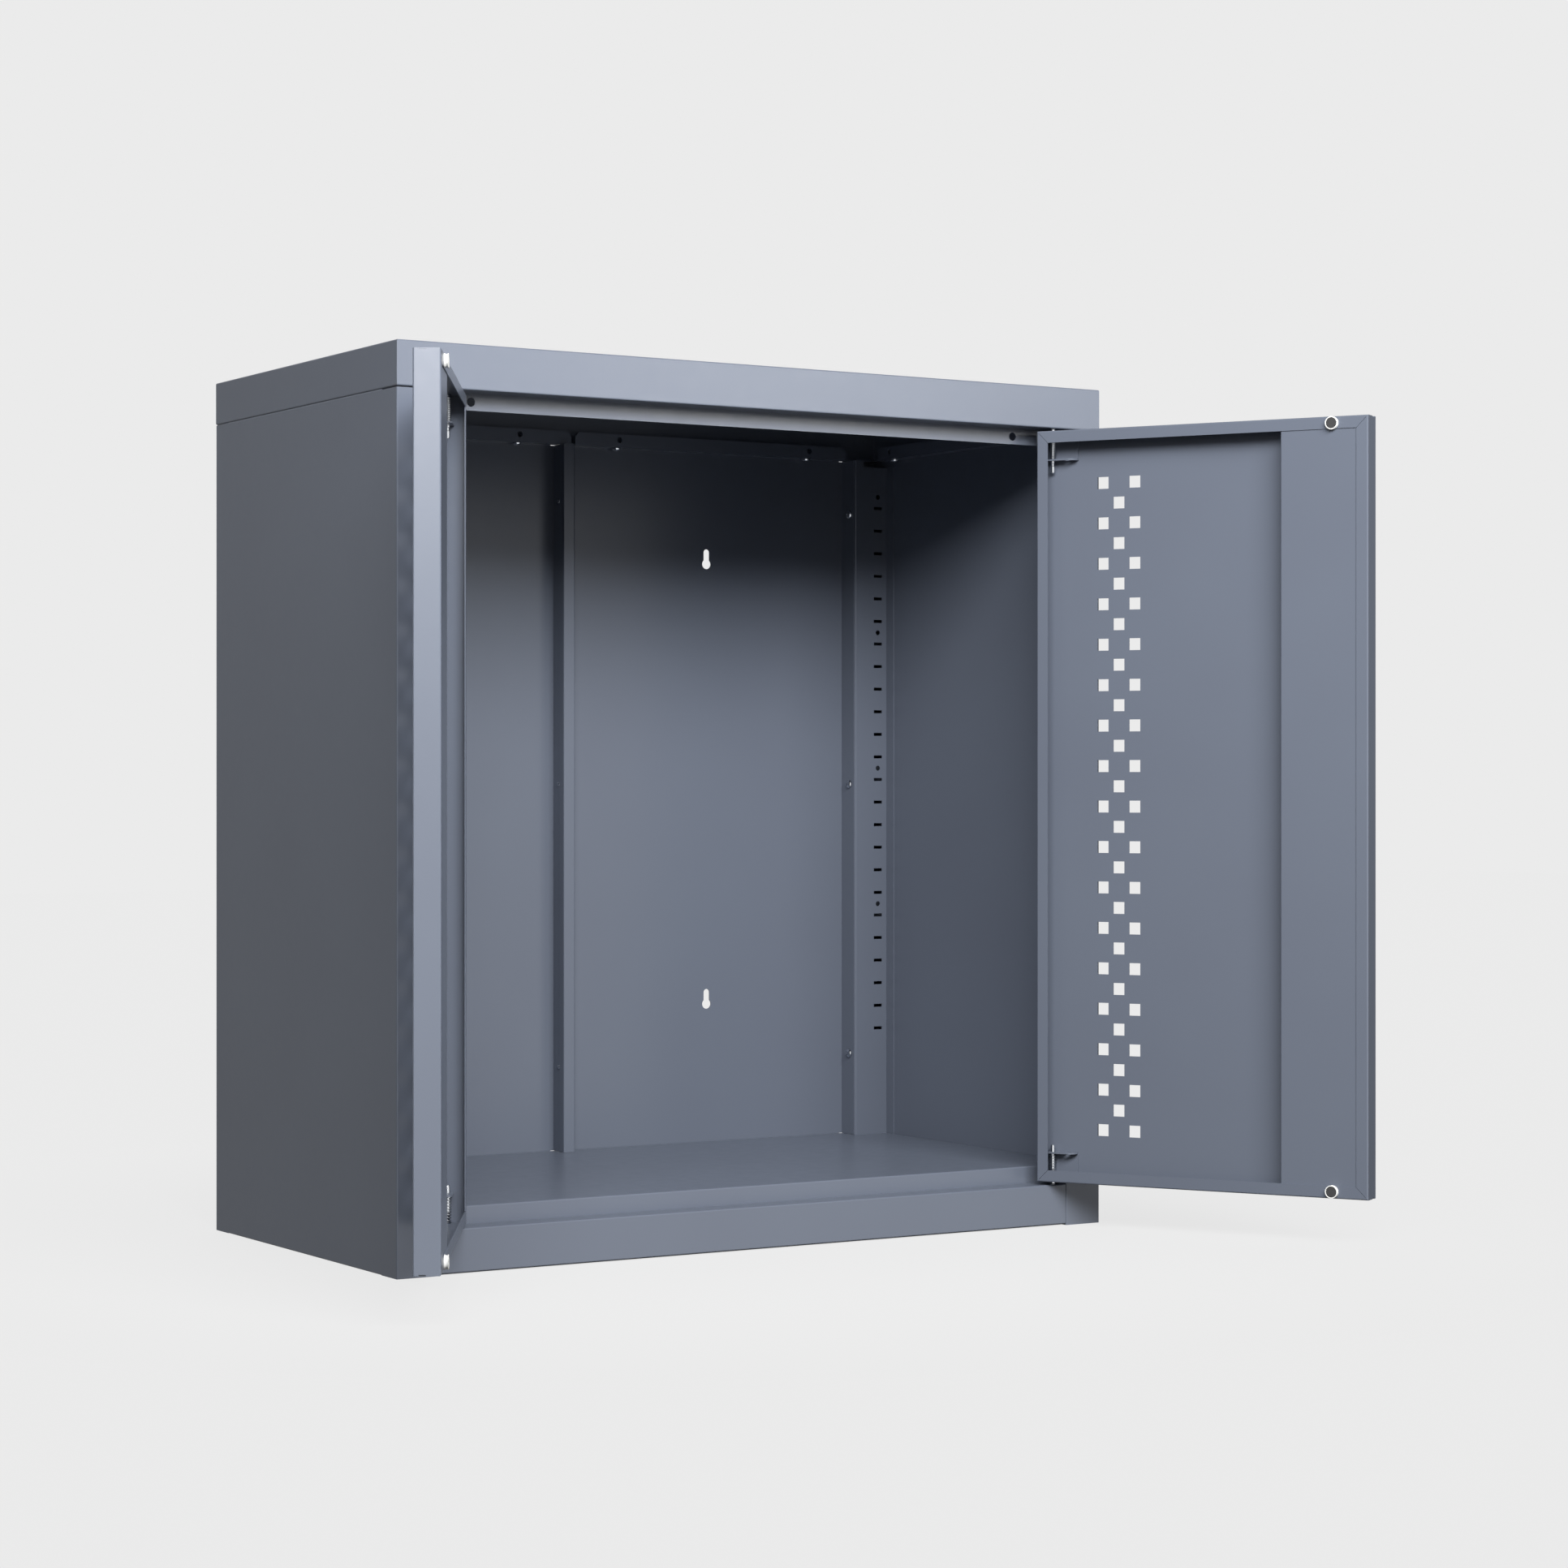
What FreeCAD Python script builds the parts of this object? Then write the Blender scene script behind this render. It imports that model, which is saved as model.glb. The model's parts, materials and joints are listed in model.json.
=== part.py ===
import FreeCAD, Part
import math
import os

# Garage cabinet of folded sheet steel with two perforated doors, drawn with both doors open.
# Millimetres. X runs to the right, Y from the front to the back, Z up.
# The origin lies on the ground under the middle of the cabinet's body.

V = FreeCAD.Vector

# Body
WIDTH = 660.0
DEPTH = 350.0
HEIGHT = 710.0
SHEET = 0.8              # thickness of the panels and the doors
FOLD = 1.2               # outside radius of a fold, whose inside is sharp
SEAM = 1.0               # open joint under the top cap
FIT = 0.2                # clearance where folded pieces nest
LAP = 12.0               # how far a fold's strip runs into its own sheet before it bends

# Side panels
STILE_WIDTH = 35.0
STILE_RETURN = 20.0
FOOT_RETURN = 20.0
REAR_CORNER = 36.0       # width of back that each rear upright closes off

# Folded tops of the side and back panels, which the top cap sits on
FOLD_DEPTH = 13.0
FOLD_LIP = 11.0
LIP_CORNER = 4.0         # clipped corners of the lips
LIP_HOLE = 5.0
LIP_HOLE_RISE = 6.0
FOLD_END_GAP = 3.0
SIDE_HOLE_INSET = 45.0   # from the front and the back to the holes in the side lips
BACK_HOLE_MIDDLE = 50.0
BACK_HOLE_INSET = 80.0   # from the sides to the outer holes in the back lips

# Top cap
CAP_SKIRT = 35.0
STOP_LIP = 13.0          # height of the lip that the doors close against
STOP_HOLE = 7.0
STOP_HOLE_INSET = 74.0
STOP_HOLE_DROP = 6.5

# Bottom pan
TOE_RAIL = 35.0
TOE_CLEAR = 1.2
TOE_GAP = 0.6            # seam between the toe rail and the stiles
TOE_RETURN = 12.0
FLOOR_STEP = 14.0        # rise from the toe ledge to the floor
PAN_FLANGE = 38.0

# Back panels: the right one's hook wraps the left one's flange
HOOK_WIDTH = 11.3
HOOK_DEPTH = 22.0
HOOK_RETURN = 8.2
RIB_DROP = 0.3           # the rib stops this far under the folded tops
TONGUE_REACH = 1.0       # how far the left panel's folded top crosses the middle
FOLD_MIDDLE_GAP = 5.0
KEYHOLE_X = 147.0
KEYHOLE_LOW = 174.0
KEYHOLE_RISE = 400.0
KEYHOLE_ENTRY = 9.0
KEYHOLE_SLOT = 6.0
KEYHOLE_LENGTH = 18.0

# Rear uprights
UPRIGHT_DEPTH = 23.0
UPRIGHT_FLANGE = 12.0
UPRIGHT_NOTCH = 6.0
UPRIGHT_NOTCH_WIDTH = 26.0
SLOT_COUNT = 24
SLOT_PITCH = 21.0
SLOT_FIRST = 147.2
SLOT_WIDTH = 9.0
SLOT_HEIGHT = 2.8
SLOT_INSET = 11.0        # from the cabinet's outer side to the middle of the slots
PEG_HOLE = 4.5
PEG_EVERY = 6            # a round hole stands halfway between every sixth pair of slots

# Doors
DOOR_THICK = 19.5
DOOR_RETURN = 10.0
DOOR_SIDE_GAP = 1.5
DOOR_MIDDLE_GAP = 3.0
DOOR_END_GAP = 3.0
OPEN_ANGLE = 120.0
MITRE = 0.3              # width of the slit between two returns
RELIEF_WIDTH = 5.0       # notch at each end of the free edge
RELIEF_FROM_SKIN = 4.0
RELIEF_DEPTH = 1.0
STIFFENER_WIDTH = 75.0   # from the free edge to the channel's web
STIFFENER_FOOT = 12.0

# Square perforations in the door skin
PERF_SIZE = 10.0
PERF_FIRST = 52.7        # from the hinge edge to the first column
PERF_COLUMN_PITCH = 14.4
PERF_ROW_PITCH = 34.1
PERF_ROWS = 17
PERF_COLUMNS = 3

# Magnets on the end returns
MAGNET_FROM_FREE = 30.3  # from the free edge to the magnets
MAGNET_FROM_END = 5.6
MAGNET_DIAMETER = 8.7
MAGNET_THICK = 2.0
HOUSING_DIAMETER = 10.6
HOUSING_PROUD = 3.3
HOUSING_WAIST = 0.5      # how much the spool is drawn in between its rims
HOUSING_RIM = 0.8
MAGNET_ROOM = 0.1        # clearance round a magnet and round a housing's stem
STEM_SIDE = 4.4          # square stem through the return and the stiffener
STEM_LENGTH = 4.0
SPOOL_SIDES = 12
STOP_ROOM = 0.5          # gap between a shut door's magnets and the lips

# Hinges
PIN_DIAMETER = 4.0
PIN_RUN = 0.1            # radial running clearance of a pin
PIN_FROM_EDGE = 8.5
PIN_FROM_FRONT = 5.5
PIN_REACH = 7.0          # how far a pin stands into its ledge
COLLAR_DIAMETER = 6.4
COLLAR_THICK = 1.0
COLLAR_GAP = 0.3
TAB_FROM_END = 23.2      # from a door's end to the face that carries the spring
TAB_DEPTH = 10.5
TAB_LENGTH = 30.4
TAB_CORNER = 7.0
TAB_SPARE_HOLE = 22.3
TAB_HOLE_DIAMETER = 4.6
BRACKET_SHEET = 1.2
TOP_TAIL = 10.6
BOTTOM_TAIL = 5.8
TAIL_NECK = 3.0
TAIL_NECK_FROM = 1.6
TAIL_NECK_LENGTH = 3.0

# Hinge springs
SPRING_RADIUS = 2.75
SPRING_WIRE = 0.54
SPRING_SEAT = 0.25       # slack at each end of a spring
TOP_TURNS = 5
BOTTOM_TURNS = 3
WIRE_SIDES = 3

# Worked-out places
HALF = WIDTH / 2
FRONT = -DEPTH / 2
BACK = DEPTH / 2
INNER = HALF - SHEET
REAR = BACK - SHEET
STILE_IN = HALF - STILE_WIDTH
CAP_BOTTOM = HEIGHT - CAP_SKIRT
PANEL_TOP = CAP_BOTTOM - SEAM
CORNER_TOP = CAP_BOTTOM - SHEET + FIT
FLOOR = TOE_RAIL + FLOOR_STEP
STOP_Y = FRONT + DOOR_THICK + HOUSING_PROUD + STOP_ROOM
RAIL_HALF = STILE_IN - TOE_GAP
UPRIGHT_X = HALF - REAR_CORNER
UPRIGHT_Y = BACK - UPRIGHT_DEPTH
FLANGE_X = UPRIGHT_X - SHEET
HOOK_Y = BACK - HOOK_DEPTH
SEAM_X = -HOOK_WIDTH + SHEET
RIB_TOP = CAP_BOTTOM - SHEET - RIB_DROP
FOLD_START = STOP_Y + SHEET + FOLD_END_GAP
FOLD_STOP = UPRIGHT_Y - FOLD_END_GAP
CAP_RIM = FOLD_DEPTH - SHEET - FIT

DOOR_EDGE = STILE_IN - DOOR_SIDE_GAP
DOOR_WIDTH = DOOR_EDGE - DOOR_MIDDLE_GAP / 2
DOOR_BOTTOM = TOE_RAIL + DOOR_END_GAP
DOOR_TOP = CAP_BOTTOM - DOOR_END_GAP
PIN_X = DOOR_EDGE - PIN_FROM_EDGE
PIN_Y = FRONT + PIN_FROM_FRONT
PIN_HOLE = PIN_DIAMETER / 2 + PIN_RUN
THROUGH = 2.0            # how far a cutter runs past the sheet it cuts


def box(x0, x1, y0, y1, z0, z1):
    return Part.makeBox(x1 - x0, y1 - y0, z1 - z0, V(x0, y0, z0))


def drill(radius, start, direction, length):
    """A round cutter from a face through the sheet, running past it at both ends."""
    axis = V(direction)
    return Part.makeCylinder(radius, length + 2 * THROUGH, start - axis * THROUGH, axis)


def ring(radius, sides, height=0.0):
    """A regular polygon round Z whose flats lie at radius."""
    corner = radius / math.cos(math.pi / sides)
    angles = [2 * math.pi * (i + 0.5) / sides for i in range(sides + 1)]
    return Part.makePolygon([V(corner * math.cos(a), corner * math.sin(a), height) for a in angles])


def stand(shape, base, axis):
    """Moves a shape that is drawn on the Z axis to base, along axis."""
    shape.Placement = FreeCAD.Placement(base, FreeCAD.Rotation(V(0, 0, 1), axis))
    return shape


def punch(radius, start, direction, length, sides=8):
    """A cutter like drill's for the small holes that repeat, with few sides."""
    axis = V(direction)
    prism = Part.Face(ring(radius, sides)).extrude(V(0, 0, length + 2 * THROUGH))
    return stand(prism, start - axis * THROUGH, axis)


def mirrored(shape):
    """The same piece on the cabinet's other side."""
    return shape.mirror(V(0, 0, 0), V(1, 0, 0))


def both_sides(shapes):
    return shapes + [mirrored(s) for s in shapes]


def cut_all(shape, cutters):
    return shape.cut(Part.makeCompound(cutters))


def joined(shapes):
    return shapes[0].multiFuse(shapes[1:]).removeSplitter()


IN_PLANE = {
    "XY": lambda p, c: V(p.x, p.y, c),
    "XZ": lambda p, c: V(p.x, c, p.y),
    "YZ": lambda p, c: V(c, p.x, p.y),
}


def folded(plane, path, side, start, end, sheet=SHEET):
    """Sheet folded at right angles along path, from start to end across the plane.

    The path's points lie on the face that shows. The sheet is on its left (side 1) or its right (side -1).
    Outward folds are rounded on that face, and the rest are sharp.
    """
    place = IN_PLANE[plane]
    points = [V(a, b, 0) for a, b in path]
    runs = [(q - p).normalize() for p, q in zip(points, points[1:])]
    inward = [V(-d.y, d.x, 0) * side for d in runs]
    shown, hidden = [], [points[0] + inward[0] * sheet]
    here = points[0]

    def curve(kind, *ends):
        shown.append(kind(*[place(p, start) for p in ends]).toShape())

    for corner, before, after, n, m in zip(points[1:], runs, runs[1:], inward, inward[1:]):
        hidden.append(corner + (n + m) * sheet)
        if before.cross(after).z * side < 0:
            curve(Part.LineSegment, here, corner)
            here = corner
            continue
        first, last = corner - before * FOLD, corner + after * FOLD
        centre = first + n * FOLD
        curve(Part.LineSegment, here, first)
        curve(Part.Arc, first, centre + (corner - centre).normalize() * FOLD, last)
        here = last
    curve(Part.LineSegment, here, points[-1])
    hidden.append(points[-1] + inward[-1] * sheet)
    around = [points[0]] + hidden + [points[-1]]
    far_side = Part.makePolygon([place(p, start) for p in around])
    outline = Part.Wire(Part.__sortEdges__(shown + far_side.Edges))
    return Part.Face(outline).extrude(place(V(0, 0, 0), end - start))


def turned(profile, base, axis):
    """A solid of revolution: profile points are (radius, distance along the axis from base)."""
    corners = [V(r, 0, s) for r, s in profile]
    solid = Part.Face(Part.makePolygon(corners + corners[:1])).revolve(V(0, 0, 0), V(0, 0, 1), 360)
    return stand(solid, base, axis)


def clipped_lip(shape):
    """Clips the upper corners of a folded top's lip."""
    top = CAP_BOTTOM + FOLD_LIP
    ends = [e for e in shape.Edges if abs(e.CenterOfMass.z - top) < 1e-6 and e.Length < 2 * SHEET]
    return shape.makeChamfer(LIP_CORNER, ends)


def pan_block(reach, radius, axes):
    """A block with the edges along each of two axes rounded, which meet in mitres at its corners."""
    blocks = []
    for axis in axes:
        block = box(*reach)
        along = [e for e in block.Edges if abs(e.tangentAt(e.FirstParameter).dot(axis)) > 0.5]
        blocks.append(block.makeFillet(radius, along))
    return blocks[0].common(blocks[1])


def right_side_panel():
    plan = [
        (STILE_IN, FRONT + STILE_RETURN), (STILE_IN, FRONT), (HALF, FRONT), (HALF, BACK),
        (UPRIGHT_X + FIT, BACK),
    ]
    wall = folded("XY", plan, 1, 0, PANEL_TOP)
    strip = (INNER - THROUGH, HALF + THROUGH, FOLD_START, FOLD_STOP)
    wall = cut_all(wall, [box(*strip, PANEL_TOP - LAP, HEIGHT), box(*strip, -THROUGH, LAP)])
    lip_x = HALF - FOLD_DEPTH + SHEET
    path = [(HALF, PANEL_TOP - LAP), (HALF, CAP_BOTTOM), (lip_x, CAP_BOTTOM), (lip_x, CAP_BOTTOM + FOLD_LIP)]
    top = clipped_lip(folded("XZ", path, 1, FOLD_START, FOLD_STOP))
    shelf = box(lip_x - SHEET, INNER, FOLD_START, BACK - FOLD_DEPTH - FIT, CAP_BOTTOM - SHEET, CAP_BOTTOM)
    holes = [
        punch(LIP_HOLE / 2, V(lip_x, y, CAP_BOTTOM + LIP_HOLE_RISE), (-1, 0, 0), SHEET)
        for y in (FRONT + SIDE_HOLE_INSET, BACK - SIDE_HOLE_INSET)]
    foot = folded("XZ", [(HALF, LAP), (HALF, 0), (HALF - FOOT_RETURN, 0)], -1, FOLD_START, FOLD_STOP)
    bend = [(HALF, FOLD_STOP), (HALF, BACK), (UPRIGHT_X + FIT, BACK)]
    corner = folded("XY", bend, 1, PANEL_TOP - LAP, CORNER_TOP)
    return joined([wall, cut_all(joined([top, shelf]), holes), foot, corner])


def top_cap():
    outside = (-HALF, HALF, FRONT, BACK, CAP_BOTTOM, HEIGHT)
    hollow = box(-INNER, INNER, FRONT + SHEET, REAR, CAP_BOTTOM + SHEET, HEIGHT - SHEET)
    rim = HALF - CAP_RIM
    levels = (CAP_BOTTOM - THROUGH, CAP_BOTTOM + THROUGH)
    mouth = box(-rim, rim, STOP_Y + SHEET, BACK - CAP_RIM, *levels)
    ledge = box(-RAIL_HALF, RAIL_HALF, FRONT + LAP, STOP_Y + THROUGH, *levels)
    shell = cut_all(pan_block(outside, FOLD, (V(1, 0, 0), V(0, 1, 0))), [hollow, mouth, ledge])
    path = [(FRONT + LAP, CAP_BOTTOM), (STOP_Y, CAP_BOTTOM), (STOP_Y, CAP_BOTTOM - STOP_LIP)]
    lip = folded("YZ", path, 1, -RAIL_HALF, RAIL_HALF)
    stop_hole = V(HALF - STOP_HOLE_INSET, STOP_Y, CAP_BOTTOM - STOP_HOLE_DROP)
    holes = [
        drill(PIN_HOLE, V(PIN_X, PIN_Y, CAP_BOTTOM), (0, 0, 1), SHEET),
        punch(STOP_HOLE / 2, stop_hole, (0, 1, 0), SHEET, SPOOL_SIDES),
    ]
    return cut_all(joined([shell, lip]), both_sides(holes))


def bottom_pan():
    strip_end = STOP_Y + SHEET + LAP
    path = [
        (FRONT + TOE_RETURN, TOE_CLEAR), (FRONT, TOE_CLEAR), (FRONT, TOE_RAIL), (STOP_Y, TOE_RAIL),
        (STOP_Y, FLOOR), (strip_end, FLOOR),
    ]
    front = folded("YZ", path, -1, -RAIL_HALF, RAIL_HALF)
    low = FLOOR - PAN_FLANGE
    plan = [(-INNER, low), (-INNER, FLOOR), (INNER, FLOOR), (INNER, low)]
    tray = folded("XZ", plan, -1, STOP_Y + SHEET, REAR)
    rear_half = INNER - LAP
    levels = (FLOOR - THROUGH, FLOOR + THROUGH)
    tray = cut_all(tray, [
        box(-RAIL_HALF, RAIL_HALF, STOP_Y, strip_end, *levels),
        box(-rear_half, rear_half, REAR - LAP, BACK, *levels),
    ])
    rear = folded("YZ", [(REAR - LAP, FLOOR), (REAR, FLOOR), (REAR, low)], -1, -rear_half, rear_half)
    pin_hole = drill(PIN_HOLE, V(PIN_X, PIN_Y, TOE_RAIL), (0, 0, -1), SHEET)
    return cut_all(joined([front, tray, rear]), both_sides([pin_hole]))


def keyholes(x):
    """Two keyholes through the back, one above the other: a round entry with a narrower slot above it."""
    cutters = []
    for z in (KEYHOLE_LOW, KEYHOLE_LOW + KEYHOLE_RISE):
        slot_end = z - KEYHOLE_ENTRY / 2 + KEYHOLE_LENGTH - KEYHOLE_SLOT / 2
        half = KEYHOLE_SLOT / 2
        cutters.append(joined([
            drill(KEYHOLE_ENTRY / 2, V(x, REAR, z), (0, 1, 0), SHEET),
            box(x - half, x + half, REAR - THROUGH, BACK + THROUGH, z, slot_end),
            drill(half, V(x, REAR, slot_end), (0, 1, 0), SHEET),
        ]))
    return cutters


def folded_top(x0, x1, reach0, reach1):
    """A back panel's top: forward over the fold, which runs on past the lip's ends, and up into the lip."""
    lip_y = BACK - FOLD_DEPTH + SHEET
    path = [(BACK, PANEL_TOP - LAP), (BACK, CAP_BOTTOM), (lip_y, CAP_BOTTOM), (lip_y, CAP_BOTTOM + FOLD_LIP)]
    top = clipped_lip(folded("YZ", path, 1, x0, x1))
    outer = HALF - BACK_HOLE_INSET
    places = [x for x in (-outer, -BACK_HOLE_MIDDLE, BACK_HOLE_MIDDLE, outer) if x0 < x < x1]
    shelf = box(reach0, reach1, lip_y - SHEET, REAR, CAP_BOTTOM - SHEET, CAP_BOTTOM)
    return cut_all(joined([top, shelf]), [
        punch(LIP_HOLE / 2, V(x, lip_y, CAP_BOTTOM + LIP_HOLE_RISE), (0, -1, 0), SHEET) for x in places])


def back_panel(plan, x0, x1, top):
    """Half of the back: a folded web between floor and rib top, a flat skirt below it and a folded top."""
    web = folded("XY", plan, 1, FLOOR + FIT, RIB_TOP)
    window = box(x0, x1, REAR - THROUGH, BACK + THROUGH, PANEL_TOP - LAP, HEIGHT)
    skirt = box(x0, x1, REAR, BACK, TOE_CLEAR, FLOOR + FIT)
    return joined([web.cut(window), skirt, top])


def right_back_panel():
    plan = [
        (-HOOK_WIDTH, HOOK_Y + HOOK_RETURN), (-HOOK_WIDTH, HOOK_Y), (0, HOOK_Y), (0, REAR),
        (FLANGE_X, REAR), (FLANGE_X, HOOK_Y),
    ]
    x0, x1 = FOLD_MIDDLE_GAP, FLANGE_X - FOLD_END_GAP
    top = folded_top(x0, x1, TONGUE_REACH + FIT, INNER - FIT)
    return cut_all(back_panel(plan, x0, x1, top), keyholes(KEYHOLE_X))


def left_back_panel():
    plan = [(-FLANGE_X, HOOK_Y), (-FLANGE_X, REAR), (SEAM_X, REAR), (SEAM_X, HOOK_Y + SHEET + FIT)]
    x0, x1 = -FLANGE_X + FOLD_END_GAP, SEAM_X - FOLD_END_GAP
    top = folded_top(x0, TONGUE_REACH, FIT - INNER, TONGUE_REACH)
    tongue = top.cut(box(x1, HALF, REAR - FOLD, BACK + THROUGH, 0, HEIGHT))
    return cut_all(back_panel(plan, x0, x1, tongue), keyholes(-KEYHOLE_X))


def right_rear_upright():
    flange = INNER - SHEET
    plan = [
        (UPRIGHT_X, REAR), (UPRIGHT_X, UPRIGHT_Y), (flange, UPRIGHT_Y), (flange, UPRIGHT_Y - UPRIGHT_FLANGE),
    ]
    post = folded("XY", plan, 1, FLOOR, PANEL_TOP)
    notch = box(
        INNER - UPRIGHT_NOTCH_WIDTH, HALF, UPRIGHT_Y - UPRIGHT_FLANGE - THROUGH, UPRIGHT_Y + THROUGH,
        PANEL_TOP - UPRIGHT_NOTCH, HEIGHT)
    slot_x = HALF - SLOT_INSET
    cutters = [notch]
    for i in range(SLOT_COUNT):
        z = SLOT_FIRST + i * SLOT_PITCH
        cutters.append(box(
            slot_x - SLOT_WIDTH / 2, slot_x + SLOT_WIDTH / 2, UPRIGHT_Y - THROUGH, UPRIGHT_Y + THROUGH,
            z - SLOT_HEIGHT / 2, z + SLOT_HEIGHT / 2))
        if i % PEG_EVERY == PEG_EVERY - 1:
            cutters.append(punch(PEG_HOLE / 2, V(slot_x, UPRIGHT_Y, z + SLOT_PITCH / 2), (0, 1, 0), SHEET))
    return cut_all(post, cutters)


def door_x(from_hinge):
    """X of a shut right-hand door's point, from its distance to the hinge edge."""
    return DOOR_EDGE - from_hinge


def door_y(from_skin):
    return FRONT + from_skin


def end_z(end, inward):
    """Height of a point that lies inward of a door's top or bottom end."""
    return DOOR_TOP - inward if end == "top" else DOOR_BOTTOM + inward


def spread(end, near, far):
    """The heights near and far from a door's end, lowest first."""
    return sorted((end_z(end, near), end_z(end, far)))


def mitres():
    """Thin slits between the returns, from the opening's corners nearly to the door's corners."""
    near, far = 1.5 * FOLD, DOOR_RETURN + THROUGH
    slits = []
    for edge, sense in ((0, 1), (DOOR_WIDTH, -1)):
        for end in ("top", "bottom"):
            inner = V(door_x(edge + sense * far), door_y(DOOR_THICK), end_z(end, far))
            outer = V(door_x(edge + sense * near), door_y(DOOR_THICK), end_z(end, near))
            run = outer - inner
            slit = Part.makeBox(run.Length, 2 * SHEET + MITRE, MITRE, V(0, -SHEET - MITRE, -MITRE / 2))
            angle = math.degrees(math.atan2(run.z, run.x))
            slit.Placement = FreeCAD.Placement(inner, FreeCAD.Rotation(V(0, 1, 0), -angle))
            slits.append(slit)
    return slits


def perforations():
    """Staggered columns of square holes, centred on the door's height."""
    middle = (DOOR_BOTTOM + DOOR_TOP) / 2
    half = PERF_SIZE / 2
    cutters = []
    for column in range(PERF_COLUMNS):
        x = door_x(PERF_FIRST + column * PERF_COLUMN_PITCH)
        rows = PERF_ROWS - column % 2
        for row in range(rows):
            z = middle + (row - (rows - 1) / 2) * PERF_ROW_PITCH
            cutters.append(box(
                x - half, x + half, door_y(-THROUGH), door_y(SHEET + THROUGH), z - half, z + half))
    return cutters


def magnet_seat(end):
    return V(door_x(DOOR_WIDTH - MAGNET_FROM_FREE), door_y(DOOR_THICK), end_z(end, MAGNET_FROM_END))


def stem(end, side, y0, y1):
    """A square bar behind a magnet's seat, from y0 to y1 off the return's inner face."""
    seat, half = magnet_seat(end), side / 2
    return box(seat.x - half, seat.x + half, seat.y + y0, seat.y + y1, seat.z - half, seat.z + half)


def door_shell():
    outside = (
        door_x(DOOR_WIDTH), door_x(0), door_y(0), door_y(DOOR_THICK), DOOR_BOTTOM, DOOR_TOP)
    hollow = box(
        door_x(DOOR_WIDTH - SHEET), door_x(SHEET), door_y(SHEET), door_y(DOOR_THICK - SHEET),
        DOOR_BOTTOM + SHEET, DOOR_TOP - SHEET)
    opening = box(
        door_x(DOOR_WIDTH - DOOR_RETURN), door_x(DOOR_RETURN), door_y(DOOR_THICK - THROUGH),
        door_y(DOOR_THICK + THROUGH), DOOR_BOTTOM + DOOR_RETURN, DOOR_TOP - DOOR_RETURN)
    shell = pan_block(outside, FOLD, (V(0, 0, 1), V(1, 0, 0))).cut(hollow).cut(opening)
    cutters = perforations() + mitres()
    for end in ("top", "bottom"):
        z0, z1 = spread(end, -THROUGH, RELIEF_DEPTH)
        cutters.append(box(
            door_x(DOOR_WIDTH + THROUGH), door_x(DOOR_WIDTH - RELIEF_DEPTH), door_y(RELIEF_FROM_SKIN),
            door_y(RELIEF_FROM_SKIN + RELIEF_WIDTH), z0, z1))
        z0, z1 = spread(end, -THROUGH, SHEET + THROUGH)
        cutters.append(Part.makeCylinder(PIN_HOLE, z1 - z0, V(PIN_X, PIN_Y, z0)))
        cutters.append(stem(end, STEM_SIDE + 2 * MAGNET_ROOM, -THROUGH, THROUGH))
    return cut_all(shell, cutters)


def door_stiffener():
    """A channel from the skin to the returns, its plate running under the free edge's return."""
    tuck = SHEET + FIT
    inside = DOOR_THICK - SHEET
    web = DOOR_WIDTH - STIFFENER_WIDTH
    plan = [
        (door_x(DOOR_WIDTH - tuck), door_y(inside)), (door_x(web), door_y(inside)),
        (door_x(web), door_y(SHEET)), (door_x(web + STIFFENER_FOOT), door_y(SHEET)),
    ]
    channel = folded("XY", plan, -1, DOOR_BOTTOM + tuck, DOOR_TOP - tuck)
    side = STEM_SIDE + 2 * MAGNET_ROOM
    return cut_all(channel, [stem(end, side, -SHEET - THROUGH, 0) for end in ("top", "bottom")])


def hinge_bracket(end):
    """A plate on the skin with a tab that stands out from it and guides the pin."""
    near = SHEET + FIT
    skin, front = door_y(SHEET), door_y(TAB_DEPTH)
    far = end_z(end, TAB_FROM_END + BRACKET_SHEET)
    side = 1 if end == "top" else -1
    plan = [(skin, end_z(end, near)), (skin, far), (front, far)]
    bracket = folded("YZ", plan, side, door_x(TAB_LENGTH), door_x(near), BRACKET_SHEET)
    corner = [
        e for e in bracket.Edges
        if abs(e.CenterOfMass.y - front) < 1e-6 and abs(e.CenterOfMass.x - door_x(TAB_LENGTH)) < 1e-6]
    bracket = bracket.makeFillet(TAB_CORNER, corner)
    z = spread(end, TAB_FROM_END, TAB_FROM_END + BRACKET_SHEET)[0]
    return cut_all(bracket, [
        drill(PIN_HOLE, V(PIN_X, PIN_Y, z), (0, 0, 1), BRACKET_SHEET),
        punch(TAB_HOLE_DIAMETER / 2, V(door_x(TAB_SPARE_HOLE), PIN_Y, z), (0, 0, 1), BRACKET_SHEET),
    ])


def magnet_housing(end):
    """A spool with a cup for the magnet in its face and a square stem through the door's return."""
    rim = HOUSING_DIAMETER / 2
    steps = [
        (rim, 0), (rim, HOUSING_RIM), (rim - HOUSING_WAIST, HOUSING_PROUD / 2),
        (rim, HOUSING_PROUD - HOUSING_RIM), (rim, HOUSING_PROUD),
    ]
    spool = Part.makeLoft([ring(r, SPOOL_SIDES, s) for r, s in steps], True, True)
    cup = Part.Face(ring(MAGNET_DIAMETER / 2 + MAGNET_ROOM, SPOOL_SIDES, HOUSING_PROUD - MAGNET_THICK - FIT))
    spool = stand(spool.cut(cup.extrude(V(0, 0, HOUSING_PROUD))), magnet_seat(end), V(0, 1, 0))
    return joined([spool, stem(end, STEM_SIDE, -STEM_LENGTH, HOUSING_RIM / 2)])


def magnet(end):
    disc = Part.Face(ring(MAGNET_DIAMETER / 2, SPOOL_SIDES)).extrude(V(0, 0, MAGNET_THICK))
    return stand(disc, magnet_seat(end) + V(0, HOUSING_PROUD - MAGNET_THICK - FIT, 0), V(0, 1, 0))


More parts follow.
